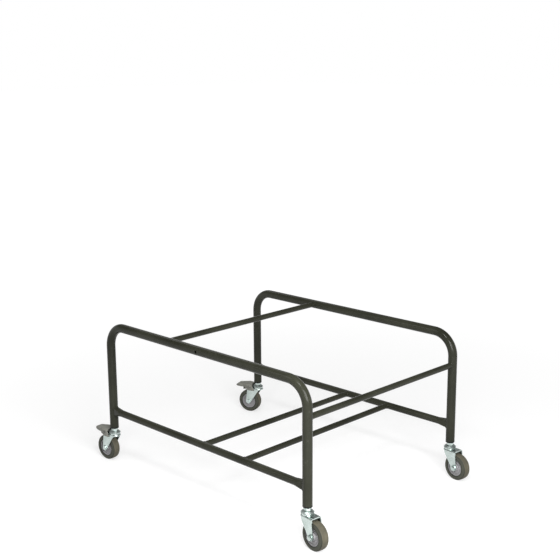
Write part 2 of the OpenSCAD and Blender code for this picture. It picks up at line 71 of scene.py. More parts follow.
def camera_turn(azimuth, elevation, roll):
    """Rotation of a camera that looks at the object from these angles."""
    back = Vector((
        math.sin(azimuth) * math.cos(elevation),
        -math.cos(azimuth) * math.cos(elevation),
        math.sin(elevation),
    ))
    level = Vector((math.cos(azimuth), math.sin(azimuth), 0))
    above = back.cross(level)
    right = math.cos(roll) * level + math.sin(roll) * above
    top = math.cos(roll) * above - math.sin(roll) * level
    return Matrix((right, top, back)).transposed()


lens = bpy.data.cameras.new("camera")
lens.sensor_fit = "HORIZONTAL"
lens.sensor_width = SENSOR_MM
lens.lens = FOCAL_PX / PICTURE_PX * SENSOR_MM
camera = bpy.data.objects.new("camera", lens)
camera.matrix_world = Matrix.Translation(EYE) @ camera_turn(AZIMUTH, ELEVATION, ROLL).to_4x4()
scene.collection.objects.link(camera)
scene.camera = camera
scene.view_settings.view_transform = "Standard"
print("lens", round(lens.lens, 2), "mm")

# %% [markdown]
# ## Helpers for nodes
#
# Materials and Geometry Nodes are both trees of nodes. One helper adds a node and fills its
# inputs: a plain value is typed into the socket, and another node's output is linked to it.

# %% Helpers for nodes


def place(tree, kind, values=None, **settings):
    """Add a node, set its properties, and fill its inputs with values or with links."""
    node = tree.nodes.new(kind)
    for name, value in settings.items():
        setattr(node, name, value)
    for key, value in (values or {}).items():
        if isinstance(value, bpy.types.NodeSocket):
            tree.links.new(value, node.inputs[key])
        else:
            node.inputs[key].default_value = value
    return node


def start_group(name, kind, inputs, outputs):
    """Make an empty node group and return it with its input and output sockets."""
    group = bpy.data.node_groups.new(name, kind)
    for label, socket_type, value in inputs:
        socket = group.interface.new_socket(label, in_out="INPUT", socket_type=socket_type)
        if value is not None:
            socket.default_value = value
    for label, socket_type in outputs:
        group.interface.new_socket(label, in_out="OUTPUT", socket_type=socket_type)
    into = group.nodes.new("NodeGroupInput").outputs
    out = group.nodes.new("NodeGroupOutput").inputs
    return group, into, out


def linear(red, green, blue):
    """Colour for a socket from screen values of 0 to 255."""
    def level(v):
        v = v / 255
        return v / 12.92 if v <= 0.04045 else ((v + 0.055) / 1.055) ** 2.4
    return (level(red), level(green), level(blue), 1.0)


print("helpers ready; middle grey is", round(linear(128, 128, 128)[0], 3))

# %% [markdown]
# ## Floor, backdrop and light
#
# The object stands in a white studio. The floor is a large plain sheet, pale by its own colour,
# with a glow that only the camera and mirror-like surfaces see, a little stronger far away, so
# that it reads as white while it keeps the soft shadows under the wheels. The world is white to
# the camera. Metal sees it white near the horizon and dimmer overhead, as in a room with a dark
# ceiling, which gives plated parts their dark lines. Large soft lamps draw the long highlights
# that show a tube is round.

# %% Floor and backdrop
FLOOR_HALF = 30.0
FLOOR_ALBEDO = 0.45
GLOW_NEAR, GLOW_FAR = 0.6, 0.88
GLOW_REACH = (0.7, 2.6)
WORLD_FILL = 0.34
CEILING = 0.12
CEILING_FROM, CEILING_TO = 0.08, 0.45


def seen_white(tree):
    """Two masks: rays of the camera, of mirrors and of glass, and rays of mirrors alone."""
    path = place(tree, "ShaderNodeLightPath")
    mirror = place(tree, "ShaderNodeMath", {
        0: path.outputs["Is Camera Ray"], 1: path.outputs["Is Glossy Ray"],
    }, operation="MAXIMUM")
    both = place(tree, "ShaderNodeMath", {
        0: mirror.outputs[0], 1: path.outputs["Is Transmission Ray"],
    }, operation="MAXIMUM")
    return both.outputs[0], path.outputs["Is Glossy Ray"]


world = bpy.data.worlds.new("studio")
scene.world = world
world.use_nodes = True
tree = world.node_tree
tree.nodes.clear()
white, glossy = seen_white(tree)
direction = place(tree, "ShaderNodeTexCoord").outputs["Object"]
height = place(tree, "ShaderNodeSeparateXYZ", {0: direction}).outputs["Z"]
room = place(tree, "ShaderNodeMapRange", {
    "Value": height, "From Min": CEILING_FROM, "From Max": CEILING_TO,
    "To Min": 1.0, "To Max": CEILING,
})
seen = place(tree, "ShaderNodeMix", {0: glossy, 2: 1.0, 3: room.outputs["Result"]})
level = place(tree, "ShaderNodeMix", {0: white, 2: WORLD_FILL, 3: seen.outputs[0]})
sky = place(tree, "ShaderNodeBackground", {"Color": (1, 1, 1, 1), "Strength": level.outputs[0]})
place(tree, "ShaderNodeOutputWorld", {"Surface": sky.outputs[0]})

floor_mesh = bpy.data.meshes.new("floor")
floor_mesh.from_pydata(
    [(x * FLOOR_HALF, y * FLOOR_HALF, 0) for x, y in ((-1, -1), (1, -1), (1, 1), (-1, 1))],
    [], [(0, 1, 2, 3)],
)
floor = bpy.data.objects.new("floor", floor_mesh)
scene.collection.objects.link(floor)
floor_finish = bpy.data.materials.new("studio_floor")
floor_finish.use_nodes = True
tree = floor_finish.node_tree
tree.nodes.clear()
paint = place(tree, "ShaderNodeBsdfDiffuse", {"Color": (FLOOR_ALBEDO,) * 3 + (1,)})
where = place(tree, "ShaderNodeTexCoord").outputs["Object"]
away = place(tree, "ShaderNodeVectorMath", {0: where}, operation="LENGTH")
glow = place(tree, "ShaderNodeMapRange", {
    "Value": away.outputs["Value"], "From Min": GLOW_REACH[0], "From Max": GLOW_REACH[1],
    "To Min": GLOW_NEAR, "To Max": GLOW_FAR,
})
shown = place(tree, "ShaderNodeMath", {
    0: seen_white(tree)[0], 1: glow.outputs["Result"],
}, operation="MULTIPLY")
shine = place(tree, "ShaderNodeEmission", {"Color": (1, 1, 1, 1), "Strength": shown.outputs[0]})
both = place(tree, "ShaderNodeAddShader", {0: paint.outputs[0], 1: shine.outputs[0]})
place(tree, "ShaderNodeOutputMaterial", {"Surface": both.outputs[0]})
floor_mesh.materials.append(floor_finish)
print("floor", 2 * FLOOR_HALF, "m wide")

# %% Lamps
LAMPS = (
    # name, place, what it looks at, width, height, power in watts
    ("key", (1.5, -0.85, 1.0), (0.3, -0.15, 0.15), 1.0, 0.9, 37.0),
    ("fill", (-1.6, -2.6, 2.2), (0.0, -0.1, 0.2), 1.2, 0.8, 11.0),
    ("top", (0.85, -1.15, 2.3), (0.2, -0.1, 0.2), 0.8, 0.4, 22.0),
    ("back", (-2.0, 0.9, 2.1), (0.0, 0.0, 0.2), 1.6, 0.6, 4.0),
)

for name, spot, target, width, tall, power in LAMPS:
    lamp = bpy.data.lights.new(name, "AREA")
    lamp.shape = "RECTANGLE"
    lamp.size, lamp.size_y = width, tall
    lamp.energy = power
    holder = bpy.data.objects.new(name, lamp)
    holder.location = spot
    holder.rotation_euler = (Vector(target) - Vector(spot)).to_track_quat("-Z", "Y").to_euler()
    holder.visible_camera = False
    scene.collection.objects.link(holder)
print("lamps:", [row[0] for row in LAMPS])

# %% [markdown]
# ## Shared effects
#
# Paint, plastic, rubber and plated steel share some habits: their tone drifts in soft patches,
# their skin has a fine grain, and handling leaves small rubbed spots. Thin dark lines are painted
# shade in the gaps between plated parts, and they mark the shoulders of the tyres. Each habit is one
# node group, so that every material can use it with its own sizes. A group gives out only colours
# and values. The shader itself stays in each material.

# %% Uneven tone
FLOAT, COLOUR, VECTOR = "NodeSocketFloat", "NodeSocketColor", "NodeSocketVector"
# Middle part of the noise, stretched over the whole way from dark to light
TONE_SPREAD = (0.32, 0.68)


def make_uneven_tone():
    """Tone that drifts between two colours in soft patches, with a fine speckle."""
    group, into, out = start_group("uneven tone", "ShaderNodeTree", [
        ("Vector", VECTOR, None), ("Dark", COLOUR, None), ("Light", COLOUR, None),
        ("Patch scale", FLOAT, 8.0), ("Speckle scale", FLOAT, 600.0), ("Speckle", FLOAT, 0.3),
    ], [("Colour", COLOUR), ("Patch", FLOAT)])
    patch = place(group, "ShaderNodeTexNoise", {
        "Vector": into["Vector"], "Scale": into["Patch scale"], "Detail": 3.0,
    })
    speckle = place(group, "ShaderNodeTexNoise", {
        "Vector": into["Vector"], "Scale": into["Speckle scale"], "Detail": 2.0,
    })
    both = place(group, "ShaderNodeMix", {
        0: into["Speckle"], 2: patch.outputs["Fac"], 3: speckle.outputs["Fac"],
    })
    spread = place(group, "ShaderNodeMapRange", {
        "Value": both.outputs[0], "From Min": TONE_SPREAD[0], "From Max": TONE_SPREAD[1],
    })
    tone = place(group, "ShaderNodeMix", {
        0: spread.outputs["Result"], 6: into["Dark"], 7: into["Light"],
    }, data_type="RGBA")
    group.links.new(tone.outputs[2], out["Colour"])
    group.links.new(spread.outputs["Result"], out["Patch"])
    return group


UNEVEN_TONE = make_uneven_tone()
print(UNEVEN_TONE.name, "has", len(UNEVEN_TONE.nodes), "nodes")

# %% Fine grain and rub marks
# A wider swell under the pebbles: its scale beside theirs, and its share of the height
SWELL_SCALE, SWELL_SHARE = 0.2, 0.4
# Where the noise turns into rubbed spots, and the wider areas that have them
SPOT_EDGE = (0.6, 0.72)
AREA_SCALE, AREA_EDGE = 0.12, (0.45, 0.65)


def make_fine_grain():
    """Height of a pebbled skin, as of powder paint, moulded plastic or rubber."""
    group, into, out = start_group("fine grain", "ShaderNodeTree", [
        ("Vector", VECTOR, None), ("Grain scale", FLOAT, 700.0),
    ], [("Height", FLOAT)])
    pebble = place(group, "ShaderNodeTexNoise", {
        "Vector": into["Vector"], "Scale": into["Grain scale"], "Detail": 2.0,
    })
    wide = place(group, "ShaderNodeMath", {
        0: into["Grain scale"], 1: SWELL_SCALE,
    }, operation="MULTIPLY")
    swell = place(group, "ShaderNodeTexNoise", {
        "Vector": into["Vector"], "Scale": wide.outputs[0], "Detail": 1.0,
    })
    height = place(group, "ShaderNodeMix", {
        0: SWELL_SHARE, 2: pebble.outputs["Fac"], 3: swell.outputs["Fac"],
    })
    group.links.new(height.outputs[0], out["Height"])
    return group


def make_rub_marks():
    """Mask of small spots where the finish was rubbed."""
    group, into, out = start_group("rub marks", "ShaderNodeTree", [
        ("Vector", VECTOR, None), ("Mark scale", FLOAT, 90.0), ("Amount", FLOAT, 0.5),
    ], [("Mask", FLOAT)])
    mark = place(group, "ShaderNodeTexNoise", {
        "Vector": into["Vector"], "Scale": into["Mark scale"], "Detail": 7.0, "Roughness": 0.7,
    })
    spots = place(group, "ShaderNodeMapRange", {
        "Value": mark.outputs["Fac"], "From Min": SPOT_EDGE[0], "From Max": SPOT_EDGE[1],
    })
    wide = place(group, "ShaderNodeMath", {
        0: into["Mark scale"], 1: AREA_SCALE,
    }, operation="MULTIPLY")
    area = place(group, "ShaderNodeTexNoise", {
        "Vector": into["Vector"], "Scale": wide.outputs[0], "Detail": 2.0,
    })
    rubbed = place(group, "ShaderNodeMapRange", {
        "Value": area.outputs["Fac"], "From Min": AREA_EDGE[0], "From Max": AREA_EDGE[1],
    })
    both = place(group, "ShaderNodeMath", {
        0: spots.outputs["Result"], 1: rubbed.outputs["Result"],
    }, operation="MULTIPLY")
    mask = place(group, "ShaderNodeMath", {
        0: both.outputs[0], 1: into["Amount"],
    }, operation="MULTIPLY")
    group.links.new(mask.outputs[0], out["Mask"])
    return group


FINE_GRAIN = make_fine_grain()
RUB_MARKS = make_rub_marks()
print("made", FINE_GRAIN.name, "and", RUB_MARKS.name)

# %% Thin line


def make_thin_line():
    """Mask of a thin line, where a value comes close to a given one: painted shade in a gap, or a shoulder line.
    """
    group, into, out = start_group("thin line", "ShaderNodeTree", [
        ("Value", FLOAT, 0.0), ("At", FLOAT, 0.0), ("Half width", FLOAT, 0.001),
    ], [("Mask", FLOAT)])
    aside = place(group, "ShaderNodeMath", {0: into["Value"], 1: into["At"]}, operation="SUBTRACT")
    away = place(group, "ShaderNodeMath", {0: aside.outputs[0]}, operation="ABSOLUTE")
    line = place(group, "ShaderNodeMapRange", {
        "Value": away.outputs[0], "From Max": into["Half width"], "To Min": 1.0, "To Max": 0.0,
    }, interpolation_type="SMOOTHSTEP")
    group.links.new(line.outputs["Result"], out["Mask"])
    return group


THIN_LINE = make_thin_line()
print("made", THIN_LINE.name)

# %% Place on a wheel


def make_wheel_place():
    """Distance from a wheel's axle, and distance from its middle plane, in metres."""
    group, into, out = start_group("wheel place", "ShaderNodeTree", [
        ("Vector", VECTOR, None),
    ], [("Radius", FLOAT), ("Across", FLOAT)])
    parts = place(group, "ShaderNodeSeparateXYZ", {0: into["Vector"]})
    flat = place(group, "ShaderNodeCombineXYZ", {0: parts.outputs["X"], 2: parts.outputs["Z"]})
    radius = place(group, "ShaderNodeVectorMath", {0: flat.outputs[0]}, operation="LENGTH")
    across = place(group, "ShaderNodeMath", {0: parts.outputs["Y"]}, operation="ABSOLUTE")
    group.links.new(radius.outputs["Value"], out["Radius"])
    group.links.new(across.outputs[0], out["Across"])
    return group


WHEEL_PLACE = make_wheel_place()
print("made", WHEEL_PLACE.name)

# %% [markdown]
# ## Finishes
#
# Every finish starts the same way: the shared tone gives the colour, the shared rub marks lift it
# where hands and floors wear it, the patches shift the roughness, and the shared grain makes a
# bump. One function builds that, and each finish is then a row of its own values. Patterns read
# Object coordinates, which are metres in the trolley's own frame.

# %% How a finish is built


def effect(tree, group, values):
    """Place a shared effect in a material and fill its inputs."""
    return place(tree, "ShaderNodeGroup", values, node_tree=group)


def start_finish(name, where=None):
    """Empty material with its shader and its coordinates, moved to a piece's place if given."""
    finish = bpy.data.materials.new(name)
    finish.use_nodes = True
    tree = finish.node_tree
    tree.nodes.clear()
    coords = place(tree, "ShaderNodeTexCoord").outputs["Object"]
    if where is not None:
        turn, centre = where
        coords = place(tree, "ShaderNodeMapping", {
            "Vector": coords, "Rotation": (0, 0, -turn),
            "Location": -(Matrix.Rotation(-turn, 3, "Z") @ centre),
        }, vector_type="POINT").outputs["Vector"]
    shader = place(tree, "ShaderNodeBsdfPrincipled")
    place(tree, "ShaderNodeOutputMaterial", {"Surface": shader.outputs[0]})
    return finish, tree, shader, coords


def dress(tree, shader, coords, dark, light, worn, patch, speckle, marks, rough, grain,
          metal=0.0, specular=0.5):
    """Give a shader the shared tone, rub marks, roughness and grain; return colour and bump.

    speckle and marks: scale, amount. rough: lowest, highest. grain: scale, strength, depth.
    """
    tone = effect(tree, UNEVEN_TONE, {
        "Vector": coords, "Dark": dark, "Light": light,
        "Patch scale": patch, "Speckle scale": speckle[0], "Speckle": speckle[1],
    })
    rubbed = effect(tree, RUB_MARKS, {
        "Vector": coords, "Mark scale": marks[0], "Amount": marks[1],
    })
    colour = place(tree, "ShaderNodeMix", {
        0: rubbed.outputs["Mask"], 6: tone.outputs["Colour"], 7: worn,
    }, data_type="RGBA")
    gloss = place(tree, "ShaderNodeMapRange", {
        "Value": tone.outputs["Patch"], "To Min": rough[0], "To Max": rough[1],
    })
    skin = effect(tree, FINE_GRAIN, {"Vector": coords, "Grain scale": grain[0]})
    bump = place(tree, "ShaderNodeBump", {
        "Height": skin.outputs["Height"], "Strength": grain[1], "Distance": grain[2],
    })
    tree.links.new(colour.outputs[2], shader.inputs["Base Color"])
    tree.links.new(gloss.outputs["Result"], shader.inputs["Roughness"])
    tree.links.new(bump.outputs["Normal"], shader.inputs["Normal"])
    shader.inputs["Metallic"].default_value = metal
    shader.inputs["Specular IOR Level"].default_value = specular
    return colour.outputs[2], bump


print("finishes can be built")

# %% Plain finishes
ZINC = dict(
    worn=linear(236, 241, 241), patch=38.0, speckle=(420.0, 0.45), marks=(160.0, 0.5),
    grain=(300.0, 0.03, 0.0002), metal=1.0,
)
PLAIN_FINISHES = {
    "black_powder_coat": dict(
        dark=linear(32, 33, 26), light=linear(58, 59, 49), worn=linear(96, 97, 86), patch=7.0,
        speckle=(900.0, 0.35), marks=(70.0, 0.3), rough=(0.14, 0.24),
        grain=(750.0, 0.1, 0.0002), specular=0.14,
    ),
    "zinc_plate": dict(
        ZINC, dark=linear(170, 182, 177), light=linear(208, 219, 216), rough=(0.2, 0.32),
    ),
    "satin_zinc": dict(
        ZINC, dark=linear(172, 184, 179), light=linear(210, 221, 218), rough=(0.36, 0.48),
    ),
    "bearing_steel": dict(
        dark=linear(150, 152, 155), light=linear(190, 192, 196), worn=linear(225, 226, 228),
        patch=60.0, speckle=(800.0, 0.4), marks=(200.0, 0.4), rough=(0.16, 0.26),
        grain=(900.0, 0.05, 0.0002), metal=1.0,
    ),
    "insert_plastic": dict(
        dark=linear(13, 15, 14), light=linear(26, 28, 26), worn=linear(70, 72, 70), patch=30.0,
        speckle=(1100.0, 0.3), marks=(120.0, 0.4), rough=(0.42, 0.55),
        grain=(1300.0, 0.2, 0.0003), specular=0.2,
    ),
    "pedal_plastic": dict(
        dark=linear(104, 104, 97), light=linear(140, 140, 132), worn=linear(170, 170, 162),
        patch=36.0, speckle=(950.0, 0.35), marks=(130.0, 0.5), rough=(0.46, 0.6),
        grain=(1200.0, 0.3, 0.0003), specular=0.4,
    ),
    "pin_steel": dict(
        dark=linear(84, 84, 80), light=linear(112, 112, 107), worn=linear(150, 150, 146),
        patch=60.0, speckle=(900.0, 0.4), marks=(200.0, 0.4), rough=(0.42, 0.56),
        grain=(900.0, 0.1, 0.0002), metal=0.4,
    ),
    "shoe_rubber": dict(
        dark=linear(44, 43, 40), light=linear(66, 64, 60), worn=linear(110, 107, 100), patch=60.0,
        speckle=(900.0, 0.4), marks=(150.0, 0.5), rough=(0.62, 0.8),
        grain=(800.0, 0.4, 0.0004), specular=0.3,
    ),
}

# Painted shade in the gaps: height and half width of each dark line, under the collar, on the cap's
# rim, and over the fork
PAINTED_GAP_LINES = ((0.0946, 0.0009), (0.0902, 0.0008), (0.0881, 0.0009))
PAINTED_GAP_SHADE = linear(62, 66, 64)

finishes = {}
for name, values in PLAIN_FINISHES.items():
    finish, tree, shader, coords = start_finish(name)
    colour, _ = dress(tree, shader, coords, **values)
    if name in ("zinc_plate", "satin_zinc"):
        # Painted shade: thin dark lines at the gaps under the collar, on the cap's rim and over the fork
        height = place(tree, "ShaderNodeSeparateXYZ", {0: coords}).outputs["Z"]
        for at, half in PAINTED_GAP_LINES:
            line = effect(tree, THIN_LINE, {"Value": height, "At": at, "Half width": half})
            colour = place(tree, "ShaderNodeMix", {
                0: line.outputs["Mask"], 6: colour, 7: PAINTED_GAP_SHADE,
            }, data_type="RGBA").outputs[2]
        tree.links.new(colour, shader.inputs["Base Color"])
    finishes[name] = finish
print("plain finishes:", sorted(finishes))

# %% [markdown]
# ## Wheels
#
# A castor tyre is not one colour: the tread is rubbed pale and dusty by the floor, its sides stay
# dark, a dark line lies on each shoulder, a ring of painted shade darkens the rubber where it meets
# the hub, and a fine moulding line runs round the middle of the tread. The hub is grey plastic with
# faint turned rings. These patterns follow the wheel, so each wheel gets its own copy of the finish,
# with a Mapping node that moves the pattern to its axle. Where each axle lies is read from the
# joints of the frame.

# %% Tyre finishes
CORNERS = ("front_left", "front_right", "rear_left", "rear_right")
# Distances from a wheel's middle plane, or from its axle, in metres
TREAD_EDGE = (0.0094, 0.0106)
# A dark line on each shoulder: where it lies, its half width, and how dark it makes the rubber
SHOULDER, SHOULDER_HALF, SHOULDER_SHADE = 0.0111, 0.0011, 0.45
# Ring of painted shade where the rubber meets the hub: its radii, and how dark it makes the rubber
RUBBER_FOOT, FOOT_PAINTED_SHADE = (0.0252, 0.0272), 0.35
MOULD_LINE, MOULD_HEIGHT = 0.0007, 0.0004
STREAK_SCALE = 900.0


def joint_named(name):
    """One joint of the frame."""
    return next(joint for joint in frame["joints"] if joint["name"] == name)


def wheel_frame(corner):
    """Turn and centre of a wheel, from its joint."""
    joint = joint_named(f"wheel_spin_{corner}")
    axle = Vector(joint["axis"])
    return math.atan2(-axle.x, axle.y), Vector(joint["pos_m"])


def tyre_finish(corner):
    """Rubber with dark sides and a pale, streaked tread."""
    finish, tree, shader, coords = start_finish(f"tyre_rubber_{corner}", wheel_frame(corner))
    side, bump = dress(
        tree, shader, coords, dark=linear(54, 56, 48), light=linear(76, 77, 67),
        worn=linear(110, 108, 97), patch=45.0, speckle=(700.0, 0.4), marks=(110.0, 0.5),
        rough=(0.6, 0.76), grain=(900.0, 0.35, 0.0004), specular=0.35,
    )
    spot = effect(tree, WHEEL_PLACE, {"Vector": coords})
    round_it = place(tree, "ShaderNodeCombineXYZ", {
        0: spot.outputs["Radius"], 1: spot.outputs["Across"],
    })
    streak = place(tree, "ShaderNodeTexNoise", {
        "Vector": round_it.outputs[0], "Scale": STREAK_SCALE, "Detail": 3.0,
    })
    tread = effect(tree, UNEVEN_TONE, {
        "Vector": coords, "Dark": linear(70, 68, 57), "Light": linear(118, 113, 95),
        "Patch scale": 48.0, "Speckle scale": 700.0, "Speckle": 0.25,
    })
    streaked = place(tree, "ShaderNodeMix", {
        0: streak.outputs["Fac"], 6: tread.outputs["Colour"], 7: linear(76, 73, 61),
    }, data_type="RGBA")
    on_tread = place(tree, "ShaderNodeMapRange", {
        "Value": spot.outputs["Across"], "From Min": TREAD_EDGE[0], "From Max": TREAD_EDGE[1],
        "To Min": 1.0, "To Max": 0.0,
    }, interpolation_type="SMOOTHSTEP")
    both = place(tree, "ShaderNodeMix", {
        0: on_tread.outputs["Result"], 6: side, 7: streaked.outputs[2],
    }, data_type="RGBA")
    # Painted shade: the rubber darkens towards the hub, as in the groove between tyre and hub
    rim = place(tree, "ShaderNodeMapRange", {
        "Value": spot.outputs["Radius"], "From Min": RUBBER_FOOT[0], "From Max": RUBBER_FOOT[1],
        "To Min": FOOT_PAINTED_SHADE, "To Max": 1.0,
    })
    # A thin dark line on each shoulder of the tyre
    shoulder_line = effect(tree, THIN_LINE, {
        "Value": spot.outputs["Across"], "At": SHOULDER, "Half width": SHOULDER_HALF,
    })
    line_dimming = place(tree, "ShaderNodeMapRange", {
        "Value": shoulder_line.outputs["Mask"], "To Min": 1.0, "To Max": SHOULDER_SHADE,
    })
    # Painted shade near the hub, times the dark shoulder lines
    depth = place(tree, "ShaderNodeMath", {
        0: rim.outputs["Result"], 1: line_dimming.outputs["Result"],
    }, operation="MULTIPLY")
    colour = place(tree, "ShaderNodeVectorMath", {
        0: both.outputs[2], "Scale": depth.outputs[0],
    }, operation="SCALE")
    ridge = place(tree, "ShaderNodeMapRange", {
        "Value": spot.outputs["Across"], "From Max": MOULD_LINE, "To Min": 1.0, "To Max": 0.0,
    })
    line = place(tree, "ShaderNodeBump", {
        "Height": ridge.outputs["Result"], "Normal": bump.outputs["Normal"],
        "Distance": MOULD_HEIGHT,
    })
    tree.links.new(colour.outputs[0], shader.inputs["Base Color"])
    tree.links.new(line.outputs["Normal"], shader.inputs["Normal"])
    return finish


for corner in CORNERS:
    finishes[f"tyre_{corner}"] = tyre_finish(corner)
print("tyre finishes:", len(CORNERS))

# %% Hub finishes
RING_STEP, RING_SHADE = 0.0024, (0.78, 1.02)


def hub_finish(corner):
    """Grey moulded plastic with faint rings left by turning."""
    finish, tree, shader, coords = start_finish(f"hub_plastic_{corner}", wheel_frame(corner))
    grey, _ = dress(
        tree, shader, coords, dark=linear(134, 134, 134), light=linear(168, 166, 169),
        worn=linear(190, 188, 188), patch=40.0, speckle=(800.0, 0.35), marks=(140.0, 0.45),
        rough=(0.4, 0.54), grain=(1100.0, 0.25, 0.0003), specular=0.45,
    )
    spot = effect(tree, WHEEL_PLACE, {"Vector": coords})
    turns = place(tree, "ShaderNodeMath", {
        0: spot.outputs["Radius"], 1: math.tau / RING_STEP,
    }, operation="MULTIPLY")
    wave = place(tree, "ShaderNodeMath", {0: turns.outputs[0]}, operation="SINE")
    shade = place(tree, "ShaderNodeMapRange", {
        "Value": wave.outputs[0], "From Min": -1.0,
        "To Min": RING_SHADE[0], "To Max": RING_SHADE[1],
    })
    ringed = place(tree, "ShaderNodeVectorMath", {
        0: grey, "Scale": shade.outputs["Result"],
    }, operation="SCALE")
    tree.links.new(ringed.outputs[0], shader.inputs["Base Color"])
    return finish


for corner in CORNERS:
    finishes[f"hub_{corner}"] = hub_finish(corner)
print("hub finishes:", len(CORNERS))

# %% Give each piece of the frame its finish
slot_of = {row["node"]: row["material_slot"] for row in frame["record"]["subparts"]}
for node, piece in frame["nodes"].items():
    finish = finishes.get(node) or finishes[slot_of[node]]
    if node.startswith("pedal_pin"):
        finish = finishes["pin_steel"]
    if node.startswith(("race_cap", "stem")):
        finish = finishes["satin_zinc"]
    for material_slot in piece.material_slots:
        material_slot.material = finish
print("pieces dressed:", len(frame["nodes"]))

# %% [markdown]
# ## Weld beads
#
# The bars and rails are welded all round where they meet the hoops. A bead is a small rope of
# metal with ripples, laid along the line where two tubes cross. That line could be drawn by hand,
# but it follows from the tubes' radii, so the script computes it and a Geometry Nodes tree sweeps
# a rippled bead along every line.

# %% Weld lines
HOOP_R = 0.0127
HOOP_X, HOOP_Y = 0.392, 0.296
TOP_Z, BAR_Z, SIDE_Z = 0.418, 0.157, 0.332
BAR_R, RAIL_R = 0.010, 0.008
CENTRE_X, INNER_X, UPPER_X = 0.007, 0.164, -0.133
PRESSED_HALF_W, PRESSED_HALF_H = 0.0083, 0.0136
LINE_POINTS = 96


def rail_line(x, z, side, radius, upright):
    """Line where a rail meets a bar along X, or a leg if upright, at the hoop on one side."""
    line = []
    for k in range(LINE_POINTS):
        angle = math.tau * k / LINE_POINTS
        dx, dz = RAIL_R * math.cos(angle), RAIL_R * math.sin(angle)
        reach = math.sqrt(radius**2 - (dx if upright else dz) ** 2)
        line.append(Vector((x + dx, side * (HOOP_Y - reach), z + dz)))
    return line


def bar_line(end, side):
    """Line where a lower bar's flattened end meets a leg."""
    corner = math.asin(PRESSED_HALF_W / PRESSED_HALF_H)
    quarter = LINE_POINTS // 4
    half = []
    for k in range(quarter):
        angle = corner - 2 * corner * k / quarter
        half.append((PRESSED_HALF_H * math.sin(angle), PRESSED_HALF_H * math.cos(angle)))
    tall = PRESSED_HALF_H * math.cos(corner)
    for k in range(quarter):
        half.append((-PRESSED_HALF_W, tall - 2 * tall * k / quarter))
    outline = half + [(-dy, -dz) for dy, dz in half]
    return [
        Vector((end * (HOOP_X - math.sqrt(HOOP_R**2 - dy**2)), side * HOOP_Y + dy, BAR_Z + dz))
        for dy, dz in outline
    ]


weld_lines = []
for side in (-1, 1):
    weld_lines.append(rail_line(CENTRE_X, BAR_Z, side, BAR_R, False))
    weld_lines.append(rail_line(INNER_X, BAR_Z, side, BAR_R, False))
    weld_lines.append(rail_line(UPPER_X, TOP_Z, side, HOOP_R, False))
    weld_lines.append(rail_line(HOOP_X, SIDE_Z, side, HOOP_R, True))
    weld_lines += [bar_line(end, side) for end in (-1, 1)]
print("weld lines:", len(weld_lines))

# %% Weld bead tree
BEAD_RADIUS = 0.0016
RIPPLE_STEP = 0.0032
RIPPLE_HEIGHT = 0.14
RIPPLE_POINTS = 6.0
WANDER_SCALE = 160.0
BEAD_SIDES = 10
BEAD_SEED = 4.0


def make_weld_tree():
    """Geometry Nodes tree that sweeps a rippled bead along the edges that it is given."""
    tree, into, out = start_group("weld bead", "GeometryNodeTree", [
        ("Lines", "NodeSocketGeometry", None), ("Bead radius", FLOAT, BEAD_RADIUS),
        ("Ripple step", FLOAT, RIPPLE_STEP), ("Ripple height", FLOAT, RIPPLE_HEIGHT),
        ("Seed", FLOAT, BEAD_SEED), ("Finish", "NodeSocketMaterial", None),
    ], [("Bead", "NodeSocketGeometry")])
    path = place(tree, "GeometryNodeMeshToCurve", {"Mesh": into["Lines"]})
    step = place(tree, "ShaderNodeMath", {
        0: into["Ripple step"], 1: RIPPLE_POINTS,
    }, operation="DIVIDE")
    even = place(tree, "GeometryNodeResampleCurve", {"Curve": path.outputs[0]}, mode="LENGTH")
    tree.links.new(step.outputs[0], even.inputs["Length"])
    along = place(tree, "GeometryNodeSplineParameter")
    turns = place(tree, "ShaderNodeMath", {
        0: along.outputs["Length"], 1: into["Ripple step"],
    }, operation="DIVIDE")
    phase = place(tree, "ShaderNodeMath", {0: turns.outputs[0], 1: math.tau}, operation="MULTIPLY")
    wave = place(tree, "ShaderNodeMath", {0: phase.outputs[0]}, operation="SINE")
    wander = place(tree, "ShaderNodeTexNoise", {
        "Scale": WANDER_SCALE, "W": into["Seed"],
    }, noise_dimensions="4D")
    drift = place(tree, "ShaderNodeMath", {0: wander.outputs["Fac"], 1: -0.5}, operation="ADD")
    rough = place(tree, "ShaderNodeMath", {
        0: wave.outputs[0], 1: drift.outputs[0],
    }, operation="ADD")
    swell = place(tree, "ShaderNodeMath", {
        0: rough.outputs[0], 1: into["Ripple height"], 2: 1.0,
    }, operation="MULTIPLY_ADD")
    sized = place(tree, "GeometryNodeSetCurveRadius", {
        "Curve": even.outputs[0], "Radius": swell.outputs[0],
    })
    ring = place(tree, "GeometryNodeCurvePrimitiveCircle", {
        "Resolution": BEAD_SIDES, "Radius": into["Bead radius"],
    })
    swept = place(tree, "GeometryNodeCurveToMesh", {
        "Curve": sized.outputs[0], "Profile Curve": ring.outputs[0],
    })
    smooth = place(tree, "GeometryNodeSetShadeSmooth", {"Geometry": swept.outputs[0]})
    real = place(tree, "GeometryNodeRealizeInstances", {"Geometry": smooth.outputs[0]})
    dressed = place(tree, "GeometryNodeSetMaterial", {
        "Geometry": real.outputs[0], "Material": into["Finish"],
    })
    tree.links.new(dressed.outputs[0], out["Bead"])
    return tree


WELD_TREE = make_weld_tree()
print(WELD_TREE.name, "tree has", len(WELD_TREE.nodes), "nodes")

# %% Grow the weld beads


def settled(host, name):
    """Plain mesh of an object as its modifiers leave it; the object itself is removed."""
    evaluated = host.evaluated_get(bpy.context.evaluated_depsgraph_get())
    mesh = bpy.data.meshes.new_from_object(evaluated)
    mesh.name = name
    host.modifiers.clear()
    bpy.data.objects.remove(host)
    return mesh


